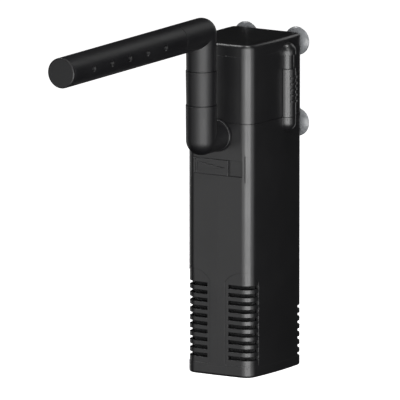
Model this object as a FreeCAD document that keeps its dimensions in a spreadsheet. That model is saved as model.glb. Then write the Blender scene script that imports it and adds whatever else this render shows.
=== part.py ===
import FreeCAD, Part
import math
import os

import Sketcher

# Internal power filter for an aquarium: a canister with a sponge and media, a motor head with a
# centrifugal pump, and a jointed outlet tube that ends in a spray bar.
#
# Frame: millimetres, +Z up, origin in the middle of the base. The outlet faces -Y, the suction
# cups face +Y, and the two latches are on +X and -X.

doc = FreeCAD.newDocument("internal_power_filter")
sheet = doc.addObject("Spreadsheet::Sheet", "dims")

DIMENSIONS = [
    # casing
    ("overall_depth", 73.3, "front ridge to back plane"),
    ("overall_width", 63.0, "across the widest part of the sides"),
    ("corner_inset", 11.5, "half width less the centre of the front corner"),
    ("front_corner", 8.9, "radius of the two front corners"),
    ("back_corner", 6.0, "radius of the two back corners"),
    ("side_radius", 310.0, "radius of the gently bulged sides"),
    ("facet_angle", 1.2, "each half of the front leans back by this many degrees"),
    ("wall", 2.2, "casing wall"),
    ("fit", 0.1, "gap of pieces that plug together"),
    ("running_gap", 0.3, "gap between pieces that move past each other"),
    ("base_height", 7.3, "base cap"),
    ("base_floor", 2.5, "floor of the base cap"),
    ("base_round", 1.8, "lower edge of the base cap"),
    ("rim_wall", 1.6, "wall of the plug-in rims"),
    ("rim_height", 4.7, "how far the base rim plugs in"),
    ("canister_height", 187.1, "base cap to head"),
    ("head_height", 51.2, "head shell"),
    ("head_floor", 2.6, "floor of the head shell"),
    ("cover_height", 9.4, "top cover"),
    ("cover_roof", 2.4, "roof of the top cover"),
    ("cover_round", 3.0, "upper edge of the top cover"),
    ("cover_taper", 2.0, "draft of the top cover, degrees"),
    ("cover_rim", 2.5, "rim of the top cover, inside the head"),
    ("groove_depth", 0.6, "shadow groove round the foot of the head"),
    ("groove_height", 0.5, "shadow groove round the foot of the head"),
    ("skirt_height", 6.0, "skirt of the head, inside the canister"),
    ("skirt_gap", 0.4, "skirt to canister wall"),
    # grille
    ("slot_count", 10, "slots at each front corner"),
    ("back_slot_count", 7, "slots at each back corner"),
    ("slot_pitch", 6.05, "slot to slot"),
    ("slot_height", 3.1, "height of one slot"),
    ("slot_top", 69.1, "level of the highest slot"),
    ("slot_start", 9.1, "slots start this far from the middle of the front"),
    ("slot_wrap", 3.0, "slots run this far past the front corner"),
    ("back_slot_start", 20.0, "back slots start this far from the middle of the back"),
    ("back_slot_wrap", 7.4, "back slots reach this far forward of the back plane"),
    ("panel_depth", 0.35, "depth of the sunk panel round the slots"),
    ("panel_width", 24.2, "width of the sunk panel, across the corner"),
    ("panel_shift", 3.5, "middle of the panel, from the corner's centre towards the front"),
    ("panel_foot", 8.9, "lower edge of the panel"),
    ("panel_top", 80.8, "top of the panel's arch"),
    ("panel_arch", 13.0, "radius of the panel's arch"),
    # filter media
    ("ledge_height", 2.0, "ledge that carries the basket"),
    ("ledge_width", 2.4, "how far the ledge stands in"),
    ("ledge_level", 99.5, "underside of the ledge"),
    ("sponge_gap", 3.0, "sponge to canister wall"),
    ("sponge_bore", 9.0, "radius of the sponge's bore"),
    ("basket_gap", 0.6, "basket to canister wall"),
    ("basket_wall", 1.5, "basket wall and floor"),
    ("basket_height", 38.0, "basket"),
    ("lid_height", 2.4, "basket lid"),
    ("lid_slot", 3.0, "width of the slots in basket and lid"),
    ("pack_gap", 1.0, "carbon pack to basket"),
    # flow slider
    ("flow_drop", 34.4, "slider below the head seam"),
    ("recess_width", 43.0, "slider recess"),
    ("recess_height", 12.3, "slider recess"),
    ("recess_depth", 1.6, "slider recess, from the front ridge"),
    ("backing", 2.5, "wall behind the slider recess"),
    ("slider_width", 30.2, "slider plate"),
    ("slider_end_gap", 0.6, "slider plate to the left end of its recess"),
    ("slider_travel", 11.8, "travel of the slider"),
    ("stem_width", 5.4, "stem between slider and shutter"),
    ("stem_height", 3.4, "stem between slider and shutter"),
    ("shutter_width", 16.0, "shutter"),
    ("shutter_height", 10.0, "shutter"),
    ("shutter_thickness", 1.5, "shutter"),
    ("port_width", 8.5, "bypass port behind the slider"),
    ("port_height", 7.0, "bypass port behind the slider"),
    ("mark_height", 6.0, "wedge mark on the slider"),
    ("mark_relief", 0.8, "height of the raised marks on the slider"),
    # pump
    ("pump_y", -8.0, "pump axis, from the middle of the casing"),
    ("outlet_drop", 9.8, "outlet axis below the head seam"),
    ("spigot_radius", 6.9, "outlet spigot, outside"),
    ("spigot_bore", 5.4, "outlet spigot, inside"),
    ("spigot_reach", 13.5, "spigot past the front ridge"),
    ("volute_radius", 19.0, "pump chamber, outside"),
    ("volute_wall", 1.8, "pump chamber"),
    ("volute_height", 18.8, "pump chamber"),
    ("volute_roof", 3.8, "roof of the pump chamber"),
    ("volute_plate", 3.0, "volute cover"),
    ("inlet_radius", 8.0, "inlet in the volute cover"),
    ("strainer_radius", 10.5, "inlet strainer, outside"),
    ("strainer_height", 9.0, "inlet strainer"),
    ("strainer_wall", 1.5, "inlet strainer"),
    ("seal_radius", 16.2, "volute O-ring, centre line"),
    ("seal_cord", 0.88, "volute O-ring, cord radius"),
    ("spigot_seal_cord", 0.5, "spigot O-ring, cord radius"),
    ("ear_radius", 3.6, "screw ears of the volute"),
    ("ear_circle", 22.0, "screws, from the pump axis"),
    ("ear_height", 6.4, "screw ears of the volute"),
    ("screw_radius", 1.45, "screw shank"),
    ("screw_head", 2.6, "screw head radius"),
    ("screw_length", 13.0, "screw shank"),
    ("boss_height", 5.5, "screw bosses in the head"),
    ("well_radius", 9.6, "rotor well, outside"),
    ("well_wall", 1.2, "rotor well"),
    ("well_height", 37.6, "rotor well, above the head seam"),
    ("well_flange", 14.0, "flange of the rotor well"),
    ("well_flange_height", 1.8, "flange of the rotor well"),
    ("shaft_radius", 1.25, "ceramic shaft"),
    ("shaft_fit", 0.08, "impeller on its shaft"),
    ("bush_radius", 2.6, "lower bush"),
    ("bush_height", 4.0, "upper bush"),
    ("hub_radius", 3.2, "impeller hub"),
    ("magnet_radius", 7.6, "rotor magnet"),
    ("magnet_length", 33.0, "rotor magnet"),
    ("vane_radius", 14.5, "impeller vanes"),
    ("vane_height", 8.5, "impeller vanes"),
    ("vane_thickness", 1.4, "impeller vanes"),
    ("vane_count", 6, "impeller vanes"),
    ("disc_radius", 12.0, "impeller disc"),
    ("disc_height", 1.6, "impeller disc"),
    # motor
    ("core_level", 9.6, "stator core, above the head seam"),
    ("core_height", 18.0, "stator stack"),
    ("core_leg", 8.0, "width of one stator leg"),
    ("core_spread", 13.5, "centre of a leg, from the pump axis"),
    ("core_front", 11.0, "legs start this far in front of the pump axis"),
    ("core_back", 34.0, "stator ends this far behind the pump axis"),
    ("bobbin_wall", 1.0, "coil bobbins"),
    ("bobbin_length", 13.0, "coil bobbins"),
    ("bobbin_start", 11.5, "bobbins start this far behind the pump axis"),
    ("bobbin_width", 15.0, "bobbin flange across"),
    ("bobbin_height", 26.0, "bobbin flange"),
    ("winding_margin", 0.5, "winding below the edge of the flange"),
    ("potting_drop", 18.2, "top of the potting resin, below the top of the head"),
    # latches
    ("latch_y", 12.7, "latches, from the middle of the casing"),
    ("latch_radius", 6.9, "rounded section of the latch"),
    ("latch_sink", 0.3, "centre of that section, inside the side wall"),
    ("keeper_height", 4.4, "straight part of the keeper, below the head seam"),
    ("latch_headroom", 14.5, "closed latch slide to the top of the head"),
    ("latch_travel", 10.8, "free rail above the slide"),
    ("latch_foot", 5.0, "solid foot of the latch slide"),
    ("cap_height", 2.3, "straight part of the rail's rounded top end"),
    ("rail_radius", 5.4, "rounded section of the rail"),
    ("rail_fit", 0.2, "slide on its rail"),
    ("rib_count", 5, "grip ribs"),
    ("rib_first", 11.2, "first grip rib above the head seam"),
    ("rib_margin", 3.0, "last pitch of the ribs to the top of the slide"),
    ("rib_width", 8.7, "grip ribs"),
    ("rib_relief", 0.9, "grip ribs"),
    ("rib_height", 1.7, "grip ribs"),
    ("tongue_width", 5.0, "latch tongue"),
    ("tongue_thickness", 2.0, "latch tongue"),
    ("tongue_length", 7.0, "latch tongue"),
    # outlet tube
    ("collar_radius", 12.4, "outlet collar"),
    ("collar_thickness", 2.3, "outlet collar"),
    ("collar_round", 1.0, "edge of the outlet collar"),
    ("tube_radius", 11.55, "outlet tube, outside"),
    ("tube_bore", 8.8, "outlet tube, inside"),
    ("tube_taper", 0.2, "a socket end is this much wider, a spigot end as much narrower"),
    ("socket_radius", 10.2, "plug end of a tube, outside"),
    ("socket_fit", 0.08, "plug end in its socket"),
    ("socket_depth", 9.0, "length of a plug end"),
    ("joint_gap", 0.4, "groove between two tubes"),
    ("riser_gap", 23.35, "riser axis, in front of the front ridge"),
    ("lower_leg", 27.0, "outlet axis to the first tube joint"),
    ("riser_length", 26.2, "first to second tube joint"),
    ("upper_leg", 28.4, "second tube joint to the spray bar axis"),
    ("bar_start", 38.0, "riser axis to the spray bar"),
    ("bar_length", 162.4, "spray bar"),
    ("end_cap", 3.0, "end cap of the spray bar"),
    ("end_cap_round", 1.1, "edge of the end cap"),
    ("end_plug", 8.0, "plug of the end cap"),
    ("jet_count", 5, "jets"),
    ("jet_radius", 2.6, "flared mouth of a jet"),
    ("jet_bore", 1.2, "drilled inner end of a jet"),
    ("jet_first", 31.8, "first jet from the start of the bar"),
    ("jet_pitch", 25.5, "jet to jet"),
    # bracket and gland
    ("cup_x", 22.35, "suction cups, from the middle"),
    ("cup_low", 184.8, "level of the lower cups"),
    ("cup_spacing", 62.1, "lower to upper cups"),
    ("cup_radius", 11.1, "rim of a cup"),
    ("cup_height", 3.6, "cup, from bracket to rim"),
    ("cup_neck", 2.5, "neck of a cup"),
    ("cup_button", 4.0, "button of a cup"),
    ("button_height", 0.9, "button of a cup"),
    ("plate_thickness", 2.0, "bracket plate"),
    ("plate_overlap", 4.8, "bracket plate past a cup's centre"),
    ("rail_stem", 8.0, "stem of the bracket rail"),
    ("rail_lip", 14.0, "lip of the bracket rail"),
    ("rail_lip_thickness", 1.4, "lip of the bracket rail"),
    ("rail_foot", 3.6, "bracket rail above the head seam"),
    ("rail_height", 34.5, "bracket rail"),
    ("gland_drop", 8.2, "cable gland below the top of the head"),
    ("gland_radius", 3.6, "cable gland, outside"),
    ("gland_bore", 2.5, "cable gland, inside"),
    ("gland_reach", 4.5, "cable gland past the back plane"),
    ("gland_flange", 5.2, "flange inside the head"),
]


class Size:
    """A length that knows its formula in the sheet and its present value."""

    def __init__(self, text, value):
        self.text = text
        self.value = value

    def __add__(self, other):
        other = as_size(other)
        return Size(f"({self.text} + {other.text})", self.value + other.value)

    def __sub__(self, other):
        other = as_size(other)
        return Size(f"({self.text} - {other.text})", self.value - other.value)

    def __mul__(self, other):
        other = as_size(other)
        return Size(f"({self.text} * {other.text})", self.value * other.value)

    def __truediv__(self, other):
        other = as_size(other)
        return Size(f"({self.text} / {other.text})", self.value / other.value)

    def __neg__(self):
        return Size(f"(0 - {self.text})", -self.value)

    def __radd__(self, other):
        return as_size(other) + self

    def __rsub__(self, other):
        return as_size(other) - self

    def __rmul__(self, other):
        return as_size(other) * self


def as_size(value):
    return value if isinstance(value, Size) else Size(str(value), value)


def cosine(angle):
    return Size(f"cos({angle.text})", math.cos(math.radians(angle.value)))


class Dimensions:
    """The sheet's cells by name."""


d = Dimensions()
for row, (alias, value, note) in enumerate(DIMENSIONS, start=1):
    sheet.set(f"A{row}", alias)
    sheet.set(f"B{row}", str(value))
    sheet.set(f"C{row}", note)
    sheet.setAlias(f"B{row}", alias)
    setattr(d, alias, Size(f"dims.{alias}", value))
doc.recompute()

# ---------------------------------------------------------------- levels and places

seam = d.base_height + d.canister_height        # where the head meets the canister
head_top = seam + d.head_height
cover_top = head_top + d.cover_height
front = -d.overall_depth / 2                    # the ridge down the middle of the front
back = d.overall_depth / 2
half_width = d.overall_width / 2

outlet = seam - d.outlet_drop
riser_y = front - d.riser_gap
lower_joint = outlet + d.lower_leg
upper_joint = lower_joint + d.riser_length
bar_level = upper_joint + d.upper_leg
bar_y = riser_y - d.bar_start
cap_y = bar_y - d.bar_length

# ---------------------------------------------------------------- helpers

TURN = {
    "Z": FreeCAD.Rotation(),
    "-Z": FreeCAD.Rotation(FreeCAD.Vector(1, 0, 0), 180),
    "-Y": FreeCAD.Rotation(FreeCAD.Vector(1, 0, 0), 90),
    "Y": FreeCAD.Rotation(FreeCAD.Vector(1, 0, 0), -90),
    "X": FreeCAD.Rotation(FreeCAD.Vector(0, 1, 0), 90),
    "-X": FreeCAD.Rotation(FreeCAD.Vector(0, 1, 0), -90),
}
parts = []


def bind(item, name, size):
    item.setExpression(name, as_size(size).text)


def place(item, x, y, z, axis="Z"):
    item.Placement = FreeCAD.Placement(FreeCAD.Vector(), TURN[axis])
    bind(item, "Placement.Base.x", x)
    bind(item, "Placement.Base.y", y)
    bind(item, "Placement.Base.z", z)
    return item


def box(name, x, y, z):
    """A box between two planes in each direction: x, y and z are (low, high) pairs."""
    item = doc.addObject("Part::Box", name)
    bind(item, "Length", x[1] - as_size(x[0]))
    bind(item, "Width", y[1] - as_size(y[0]))
    bind(item, "Height", z[1] - as_size(z[0]))
    return place(item, x[0], y[0], z[0])


def across(width, centre=0):
    """The (low, high) pair of a width about a centre."""
    return (as_size(centre) - width / 2, as_size(centre) + width / 2)


def cylinder(name, radius, length, x, y, z, axis="Z"):
    item = doc.addObject("Part::Cylinder", name)
    bind(item, "Radius", radius)
    bind(item, "Height", length)
    return place(item, x, y, z, axis)


def cone(name, start, end, length, x, y, z, axis="Z"):
    item = doc.addObject("Part::Cone", name)
    bind(item, "Radius1", start)
    bind(item, "Radius2", end)
    bind(item, "Height", length)
    return place(item, x, y, z, axis)


def sphere(name, radius, x, y, z):
    item = doc.addObject("Part::Sphere", name)
    bind(item, "Radius", radius)
    return place(item, x, y, z)


def ring(name, radius, cord, x, y, z, axis="Z"):
    item = doc.addObject("Part::Torus", name)
    bind(item, "Radius1", radius)
    bind(item, "Radius2", cord)
    return place(item, x, y, z, axis)


def fuse(name, *shapes):
    if len(shapes) == 1:
        return shapes[0]
    item = doc.addObject("Part::MultiFuse", name)
    item.Shapes = list(shapes)
    item.Refine = True
    return item


def cut(name, base, *tools):
    item = doc.addObject("Part::Cut", name)
    item.Base = base
    item.Tool = fuse(f"{name}_tools", *tools)
    item.Refine = True
    return item


def common(name, *shapes):
    item = doc.addObject("Part::MultiCommon", name)
    item.Shapes = list(shapes)
    item.Refine = True
    return item


def mirrored(name, source):
    """The mirror image on the other side of the middle plane."""
    item = doc.addObject("Part::Mirroring", name)
    item.Source = source
    item.Base = FreeCAD.Vector()
    item.Normal = FreeCAD.Vector(1, 0, 0)
    return item


def part(name, item):
    """Marks an object as a finished piece: its label names its file."""
    item.Label = name
    parts.append(item)
    return item


def new_sketch(body, role, offset=0):
    plane = next(item for item in body.Origin.OriginFeatures if item.Role == role)
    sketch = body.newObject("Sketcher::SketchObject", f"{body.Name}_sketch")
    sketch.AttachmentSupport = [(plane, "")]
    sketch.MapMode = "FlatFace"
    bind(sketch, "AttachmentOffset.Base.z", offset)
    return sketch


def fix(sketch, kind, geometry, point, size):
    """Holds one coordinate of a sketch point, or a radius when point is None."""
    where = (geometry,) if point is None else (geometry, point)
    size = as_size(size)
    index = sketch.addConstraint(Sketcher.Constraint(kind, *where, size.value))
    sketch.setExpression(f"Constraints[{index}]", size.text)


def polygon(sketch, points):
    """A closed outline through points, each coordinate bound to its formula."""
    places = [FreeCAD.Vector(as_size(x).value, as_size(y).value, 0) for x, y in points]
    count = len(points)
    for index in range(count):
        sketch.addGeometry(Part.LineSegment(places[index], places[(index + 1) % count]))
    for index in range(count):
        sketch.addConstraint(Sketcher.Constraint("Coincident", index, 2, (index + 1) % count, 1))
    for index, (x, y) in enumerate(points):
        fix(sketch, "DistanceX", index, 1, x)
        fix(sketch, "DistanceY", index, 1, y)


def turned(name, points, x, y, z, axis="Z"):
    """A body turned about an axis: points are (radius, height) pairs round its section."""
    body = doc.addObject("PartDesign::Body", name)
    sketch = new_sketch(body, "XZ_Plane")
    polygon(sketch, points)
    turn = body.newObject("PartDesign::Revolution", f"{name}_turn")
    turn.Profile = sketch
    turn.ReferenceAxis = (sketch, ["V_Axis"])
    turn.Angle = 360
    place(body, x, y, z, axis)
    return body


def edges_at(shape, coordinate, level):
    """Names of the edges that lie wholly at one level of x, y or z."""
    names = []
    for index, edge in enumerate(shape.Edges, start=1):
        box_of_edge = edge.BoundBox
        low = getattr(box_of_edge, coordinate + "Min")
        high = getattr(box_of_edge, coordinate + "Max")
        if abs(low - level) < 0.01 and abs(high - level) < 0.01:
            names.append(f"Edge{index}")
    return names


def round_edges(body, coordinate, level, radius):
    """Fillets the edges of a body's last feature at one level of the body's own frame."""
    doc.recompute()
    feature = body.Tip
    fillet = body.newObject("PartDesign::Fillet", f"{body.Name}_round")
    fillet.Base = (feature, edges_at(feature.Shape, coordinate, level.value))
    bind(fillet, "Radius", radius)
    return fillet


def arc(centre, radius, start, end):
    circle = Part.Circle(FreeCAD.Vector(centre[0], centre[1], 0), FreeCAD.Vector(0, 0, 1), radius)
    return Part.ArcOfCircle(circle, start, end)


def casing_outline(sketch, inset):
    """The casing's outline, moved inwards by inset.

    The front is two flat halves that meet in a faint ridge, the corners are round, and each side
    is one long shallow arc that runs tangent into the corners.
    """
    inset = as_size(inset)
    corner_x = half_width - d.corner_inset
    ridge_slope = Size(f"tan({d.facet_angle.text})", math.tan(math.radians(d.facet_angle.value)))
    corner_y = front + d.front_corner / cosine(d.facet_angle) + corner_x * ridge_slope
    ridge_y = front + inset / cosine(d.facet_angle)
    side_x = half_width - d.side_radius
    corner_r = d.front_corner - inset
    side_r = d.side_radius - inset
    back_r = d.back_corner - inset
    back_y = back - inset

    # present places of the arcs' centres, from the tangent conditions
    cx, cy, sx = corner_x.value, corner_y.value, side_x.value
    sy = cy + math.sqrt((side_r.value - corner_r.value) ** 2 - (sx - cx) ** 2)
    by = back_y.value - back_r.value
    bx = sx + math.sqrt((side_r.value - back_r.value) ** 2 - (by - sy) ** 2)
    lean = math.radians(d.facet_angle.value)
    low = math.atan2(cy - sy, cx - sx)
    high = math.atan2(by - sy, bx - sx)
    quarter = math.pi / 2
    touch_x = cx + corner_r.value * math.sin(lean)
    touch_y = cy - corner_r.value * math.cos(lean)
    ridge = FreeCAD.Vector(0, ridge_y.value, 0)

    sketch.addGeometry(Part.LineSegment(ridge, FreeCAD.Vector(touch_x, touch_y, 0)))
    sketch.addGeometry(arc((cx, cy), corner_r.value, lean - quarter, low))
    sketch.addGeometry(arc((sx, sy), side_r.value, low, high))
    sketch.addGeometry(arc((bx, by), back_r.value, high, quarter))
    sketch.addGeometry(Part.LineSegment(FreeCAD.Vector(bx, back_y.value, 0),
                                        FreeCAD.Vector(-bx, back_y.value, 0)))
    sketch.addGeometry(arc((-bx, by), back_r.value, quarter, math.pi - high))
    sketch.addGeometry(arc((-sx, sy), side_r.value, math.pi - high, math.pi - low))
    sketch.addGeometry(arc((-cx, cy), corner_r.value, math.pi - low, 3 * quarter - lean))
    sketch.addGeometry(Part.LineSegment(FreeCAD.Vector(-touch_x, touch_y, 0), ridge))

    for index in range(8):
        sketch.addConstraint(Sketcher.Constraint("Tangent", index, 2, index + 1, 1))
    sketch.addConstraint(Sketcher.Constraint("Coincident", 8, 2, 0, 1))
    sketch.addConstraint(Sketcher.Constraint("PointOnObject", 0, 1, -2))
    sketch.addConstraint(Sketcher.Constraint("Horizontal", 4))
    sketch.addConstraint(Sketcher.Constraint("Symmetric", 1, 3, 7, 3, -2))
    fix(sketch, "DistanceY", 0, 1, ridge_y)
    fix(sketch, "DistanceX", 1, 3, corner_x)
    fix(sketch, "DistanceY", 1, 3, corner_y)
    fix(sketch, "DistanceX", 2, 3, side_x)
    fix(sketch, "DistanceX", 6, 3, -side_x)
    fix(sketch, "DistanceY", 4, 1, back_y)
    for index, radius in ((1, corner_r), (2, side_r), (3, back_r), (5, back_r), (6, side_r), (7, corner_r)):
        fix(sketch, "Radius", index, None, radius)


def casing_block(name, inset, low, high, taper=None):
    """A solid block with the casing's outline between two levels."""
    body = doc.addObject("PartDesign::Body", name)
    sketch = new_sketch(body, "XY_Plane", low)
    casing_outline(sketch, inset)
    pad = body.newObject("PartDesign::Pad", f"{name}_pad")
    pad.Profile = sketch
    bind(pad, "Length", high - as_size(low))
    if taper is not None:
        bind(pad, "TaperAngle", -taper)
    return body


def casing_ring(name, outer, inner, low, high):
    """A ring between two insets of the casing's outline."""
    return cut(name, casing_block(f"{name}_outer", outer, low, high),
               casing_block(f"{name}_inner", inner, low - 1, high + 1))


def plate(name, role, offset, points, thickness):
    """A flat piece: an outline on one of the body's origin planes, raised by a thickness."""
    body = doc.addObject("PartDesign::Body", name)
    sketch = new_sketch(body, role, offset)
    polygon(sketch, points)
    pad = body.newObject("PartDesign::Pad", f"{name}_pad")
    pad.Profile = sketch
    bind(pad, "Length", thickness)
    return body


def rectangle(x, z):
    """The four corners of a rectangle from its (low, high) pairs."""
    return [(x[0], z[0]), (x[1], z[0]), (x[1], z[1]), (x[0], z[1])]


def slot_row(name, x, y, low, count):
    """A column of equal slots, one above the other, as a solid to cut with."""
    body = doc.addObject("PartDesign::Body", name)
    sketch = new_sketch(body, "XZ_Plane", -as_size(y[1]))
    polygon(sketch, rectangle(x, across(d.slot_height, low)))
    pad = body.newObject("PartDesign::Pad", f"{name}_pad")
    pad.Profile = sketch
    bind(pad, "Length", y[1] - as_size(y[0]))
    row = body.newObject("PartDesign::LinearPattern", f"{name}_row")
    row.Originals = [pad]
    row.Direction = (sketch, ["V_Axis"])
    bind(row, "Length", (count - 1) * d.slot_pitch)
    bind(row, "Occurrences", count)
    body.Tip = row
    return body


def tube(name, outer, inner, length, x, y, z, axis="Z"):
    """A plain tube; the bore runs a little past both ends."""
    return cut(name, cylinder(f"{name}_outer", outer, length, x, y, z, axis),
               cylinder(f"{name}_bore", inner, length, x, y, z, axis))


# ---------------------------------------------------------------- canister

DIAGONAL = math.sqrt(0.5)
FAR = 60                                        # longer than any wall is thick


def sunk_panel():
    """The skin to remove for the arched panel round the front right slots."""
    middle = (half_width - d.corner_inset + front + d.front_corner) * DIAGONAL - d.panel_shift
    left = middle - d.panel_width / 2
    turn = FreeCAD.Rotation(FreeCAD.Vector(0, 0, 1), 45)

    def corner_block(name, low, high):
        item = box(name, (0, d.panel_width), (0, FAR), (low, high))
        item.Placement = FreeCAD.Placement(FreeCAD.Vector(), turn)
        bind(item, "Placement.Base.x", left * DIAGONAL + (FAR + 20) * DIAGONAL)
        bind(item, "Placement.Base.y", left * DIAGONAL - (FAR + 20) * DIAGONAL)
        bind(item, "Placement.Base.z", low)
        return item

    arch_level = d.panel_top - d.panel_arch
    arch = cylinder("panel_arch", d.panel_arch, FAR * 2, middle * DIAGONAL, middle * DIAGONAL, arch_level)
    arch.Placement = FreeCAD.Placement(FreeCAD.Vector(), turn * TURN["-Y"])
    bind(arch, "Placement.Base.x", middle * DIAGONAL)
    bind(arch, "Placement.Base.y", middle * DIAGONAL)
    bind(arch, "Placement.Base.z", arch_level)
    outline = fuse("panel_outline", corner_block("panel_lower", d.panel_foot, arch_level), arch)
    region = common("panel_region", outline, corner_block("panel_whole", d.panel_foot, d.panel_top))
    skin = casing_ring("panel_skin", -1, d.panel_depth, d.panel_foot, d.panel_top)
    return common("panel_cut", region, skin)


flow_level = seam - d.flow_drop
slider_left = d.slider_end_gap - d.recess_width / 2
stem_x = slider_left + d.slider_width / 2
recess_floor = front + d.recess_depth
backing_face = recess_floor + d.backing
low_slot = d.slot_top - (d.slot_count - 1) * d.slot_pitch
notch = d.spigot_radius + d.running_gap
latch_x = half_width - d.latch_sink
tongue_x = half_width + d.running_gap + 0.8

front_slots = slot_row("front_slots", (d.slot_start, half_width + 10),
                       (front - 10, front + d.front_corner + d.slot_wrap), low_slot, d.slot_count)
back_slots = slot_row("back_slots", (d.back_slot_start, half_width + 10),
                      (back - d.back_slot_wrap, back + 10), low_slot - d.slot_pitch, d.back_slot_count)
panel = sunk_panel()

keeper_ball = sphere("keeper_ball", d.latch_radius, latch_x, d.latch_y, seam - d.keeper_height)
keeper_top = cylinder("keeper_top", d.latch_radius, d.keeper_height, latch_x, d.latch_y,
                      seam - d.keeper_height)
keeper = common("keeper", fuse("keeper_round", keeper_ball, keeper_top),
                box("keeper_block", (half_width - d.wall / 2, half_width + FAR),
                    across(2 * FAR, d.latch_y), (seam - FAR, seam)))
tongue_hole = box("tongue_hole", (tongue_x - d.running_gap, tongue_x + d.tongue_thickness + d.running_gap),
                  across(d.tongue_width + 2 * d.running_gap, d.latch_y),
                  (seam - d.tongue_length - 0.5, seam + 1))

canister_tube = casing_ring("canister_tube", 0, d.wall, d.base_height, seam)
ledge = casing_ring("ledge", d.wall / 2, d.wall + d.ledge_width, d.ledge_level,
                    d.ledge_level + d.ledge_height)
window_backing = box("window_backing", across(d.recess_width + 5), (front + 1, backing_face),
                     across(d.recess_height + 8, flow_level))
slider_recess = box("slider_recess", across(d.recess_width), (front - 5, recess_floor),
                    across(d.recess_height, flow_level))
stem_slot = box("stem_slot",
                (stem_x - d.stem_width / 2 - d.running_gap,
                 stem_x + d.stem_width / 2 + d.slider_travel + d.running_gap),
                (front - 5, backing_face + 1), across(d.stem_height + 2 * d.running_gap, flow_level))
bypass_port = box("bypass_port", (slider_left + 1.5, slider_left + 1.5 + d.port_width),
                  (front - 5, backing_face + 1), across(d.port_height, flow_level))
spigot_notch = cylinder("spigot_notch", notch, FAR / 3, 0, front - 5, outlet, "Y")
notch_mouth = box("notch_mouth", across(2 * notch), (front - 5, front + FAR / 3 - 5), (outlet, seam + 1))

canister_solid = fuse("canister_solid", canister_tube, ledge, window_backing, keeper,
                      mirrored("keeper_left", keeper))
part("canister_shell", cut(
    "canister_body", canister_solid, slider_recess, stem_slot, bypass_port, spigot_notch, notch_mouth,
    front_slots, mirrored("front_slots_left", front_slots), back_slots,
    mirrored("back_slots_left", back_slots), panel, mirrored("panel_cut_left", panel),
    tongue_hole, mirrored("tongue_hole_left", tongue_hole)))

base_block = casing_block("base_block", 0, 0, d.base_height)
round_edges(base_block, "Z", as_size(0), d.base_round)
base_well = casing_block("base_well", d.wall, d.base_floor, d.base_height + 1)
base_rim = casing_ring("base_rim", d.wall + d.fit, d.wall + d.fit + d.rim_wall, d.base_floor,
                       d.base_height + d.rim_height)
part("base_cap", fuse("base_body", cut("base_dish", base_block, base_well), base_rim))

# ---------------------------------------------------------------- filter media

lid_level = d.ledge_level + d.ledge_height + d.basket_height
sponge = casing_block("sponge", d.wall + d.sponge_gap, d.base_floor + 0.5, d.ledge_level - 1.5)
part("sponge_block", cut("sponge_body", sponge,
                         cylinder("sponge_bore", d.sponge_bore, FAR * 2, 0, 0, 0)))


def water_slots(name, low, high):
    """A row of cross slots through a flat grid between two levels."""
    cutters = []
    for index in range(-3, 4):
        cutters.append(box(f"{name}_{index + 3}", across(half_width), across(d.lid_slot, index * 7.0),
                           (low - 1, high + 1)))
    return cutters


basket_floor = d.ledge_level + d.ledge_height
basket_inset = d.wall + d.basket_gap
basket_solid = casing_block("basket_solid", basket_inset, basket_floor, lid_level)
basket_room = casing_block("basket_room", basket_inset + d.basket_wall, basket_floor + d.basket_wall,
                           lid_level + 1)
part("media_basket", cut("basket_body", basket_solid, basket_room,
                         *water_slots("basket_slot", basket_floor, basket_floor + d.basket_wall)))
part("carbon_pack", casing_block("carbon_body", basket_inset + d.basket_wall + d.pack_gap,
                                 basket_floor + d.basket_wall + 0.5, lid_level - 4))
lid_plate = casing_block("lid_plate", basket_inset, lid_level, lid_level + d.lid_height)
part("basket_lid", cut("lid_body", lid_plate,
                       *water_slots("lid_slot", lid_level, lid_level + d.lid_height)))

# ---------------------------------------------------------------- flow slider

slider_face = front - 0.25
slider_back = recess_floor - d.running_gap
slider_plate = box("slider_plate", (slider_left, slider_left + d.slider_width), (slider_face, slider_back),
                   across(d.recess_height - 2 * d.running_gap, flow_level))
slider_stem = box("slider_stem", across(d.stem_width, stem_x), (slider_back, backing_face + d.running_gap),
                  across(d.stem_height, flow_level))
wedge = plate("wedge", "XZ_Plane", -slider_face,
              [(slider_left + 4.5, flow_level - d.mark_height / 2),
               (slider_left + d.slider_width - 3, flow_level),
               (slider_left + 4.5, flow_level + d.mark_height / 2)], d.mark_relief)
grips = []
for index in range(2):
    edge = slider_left + 1.0 + 1.5 * index
    grips.append(box(f"slider_grip_{index}", (edge, edge + 0.7), (slider_face - d.mark_relief, slider_face),
                     across(d.recess_height - 2, flow_level)))
part("flow_slider", fuse("slider_body", slider_plate, slider_stem, wedge, *grips))
part("flow_shutter", box("shutter_body", across(d.shutter_width, stem_x),
                         (backing_face + d.running_gap, backing_face + d.running_gap + d.shutter_thickness),
                         across(d.shutter_height, flow_level)))

# ---------------------------------------------------------------- motor head

SCREW_ANGLES = (-45, -135, 90)
screw_places = []
for angle in SCREW_ANGLES:
    turn = math.radians(angle)
    screw_places.append((d.ear_circle * math.cos(turn), d.pump_y + d.ear_circle * math.sin(turn)))

floor_top = seam + d.head_floor
well_top = seam + d.well_height
bosses = []
for index, (x, y) in enumerate(screw_places):
    bosses.append(cylinder(f"boss_{index}", d.ear_radius, d.head_floor + d.boss_height, x, y, seam))
screw_start = seam - d.ear_height
screws = []
for index, (x, y) in enumerate(screw_places):
    shank = cylinder(f"screw_shank_{index}", d.screw_radius, d.screw_length, x, y, screw_start)
    head = cylinder(f"screw_head_{index}", d.screw_head, 1.8, x, y, screw_start - 1.8)
    drive = box(f"screw_drive_{index}", across(0.8, x), across(3.6, y), (screw_start - 2, screw_start - 1))
    screws.append(cut(f"screw_{index}", fuse(f"screw_blank_{index}", head, shank), drive))

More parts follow.
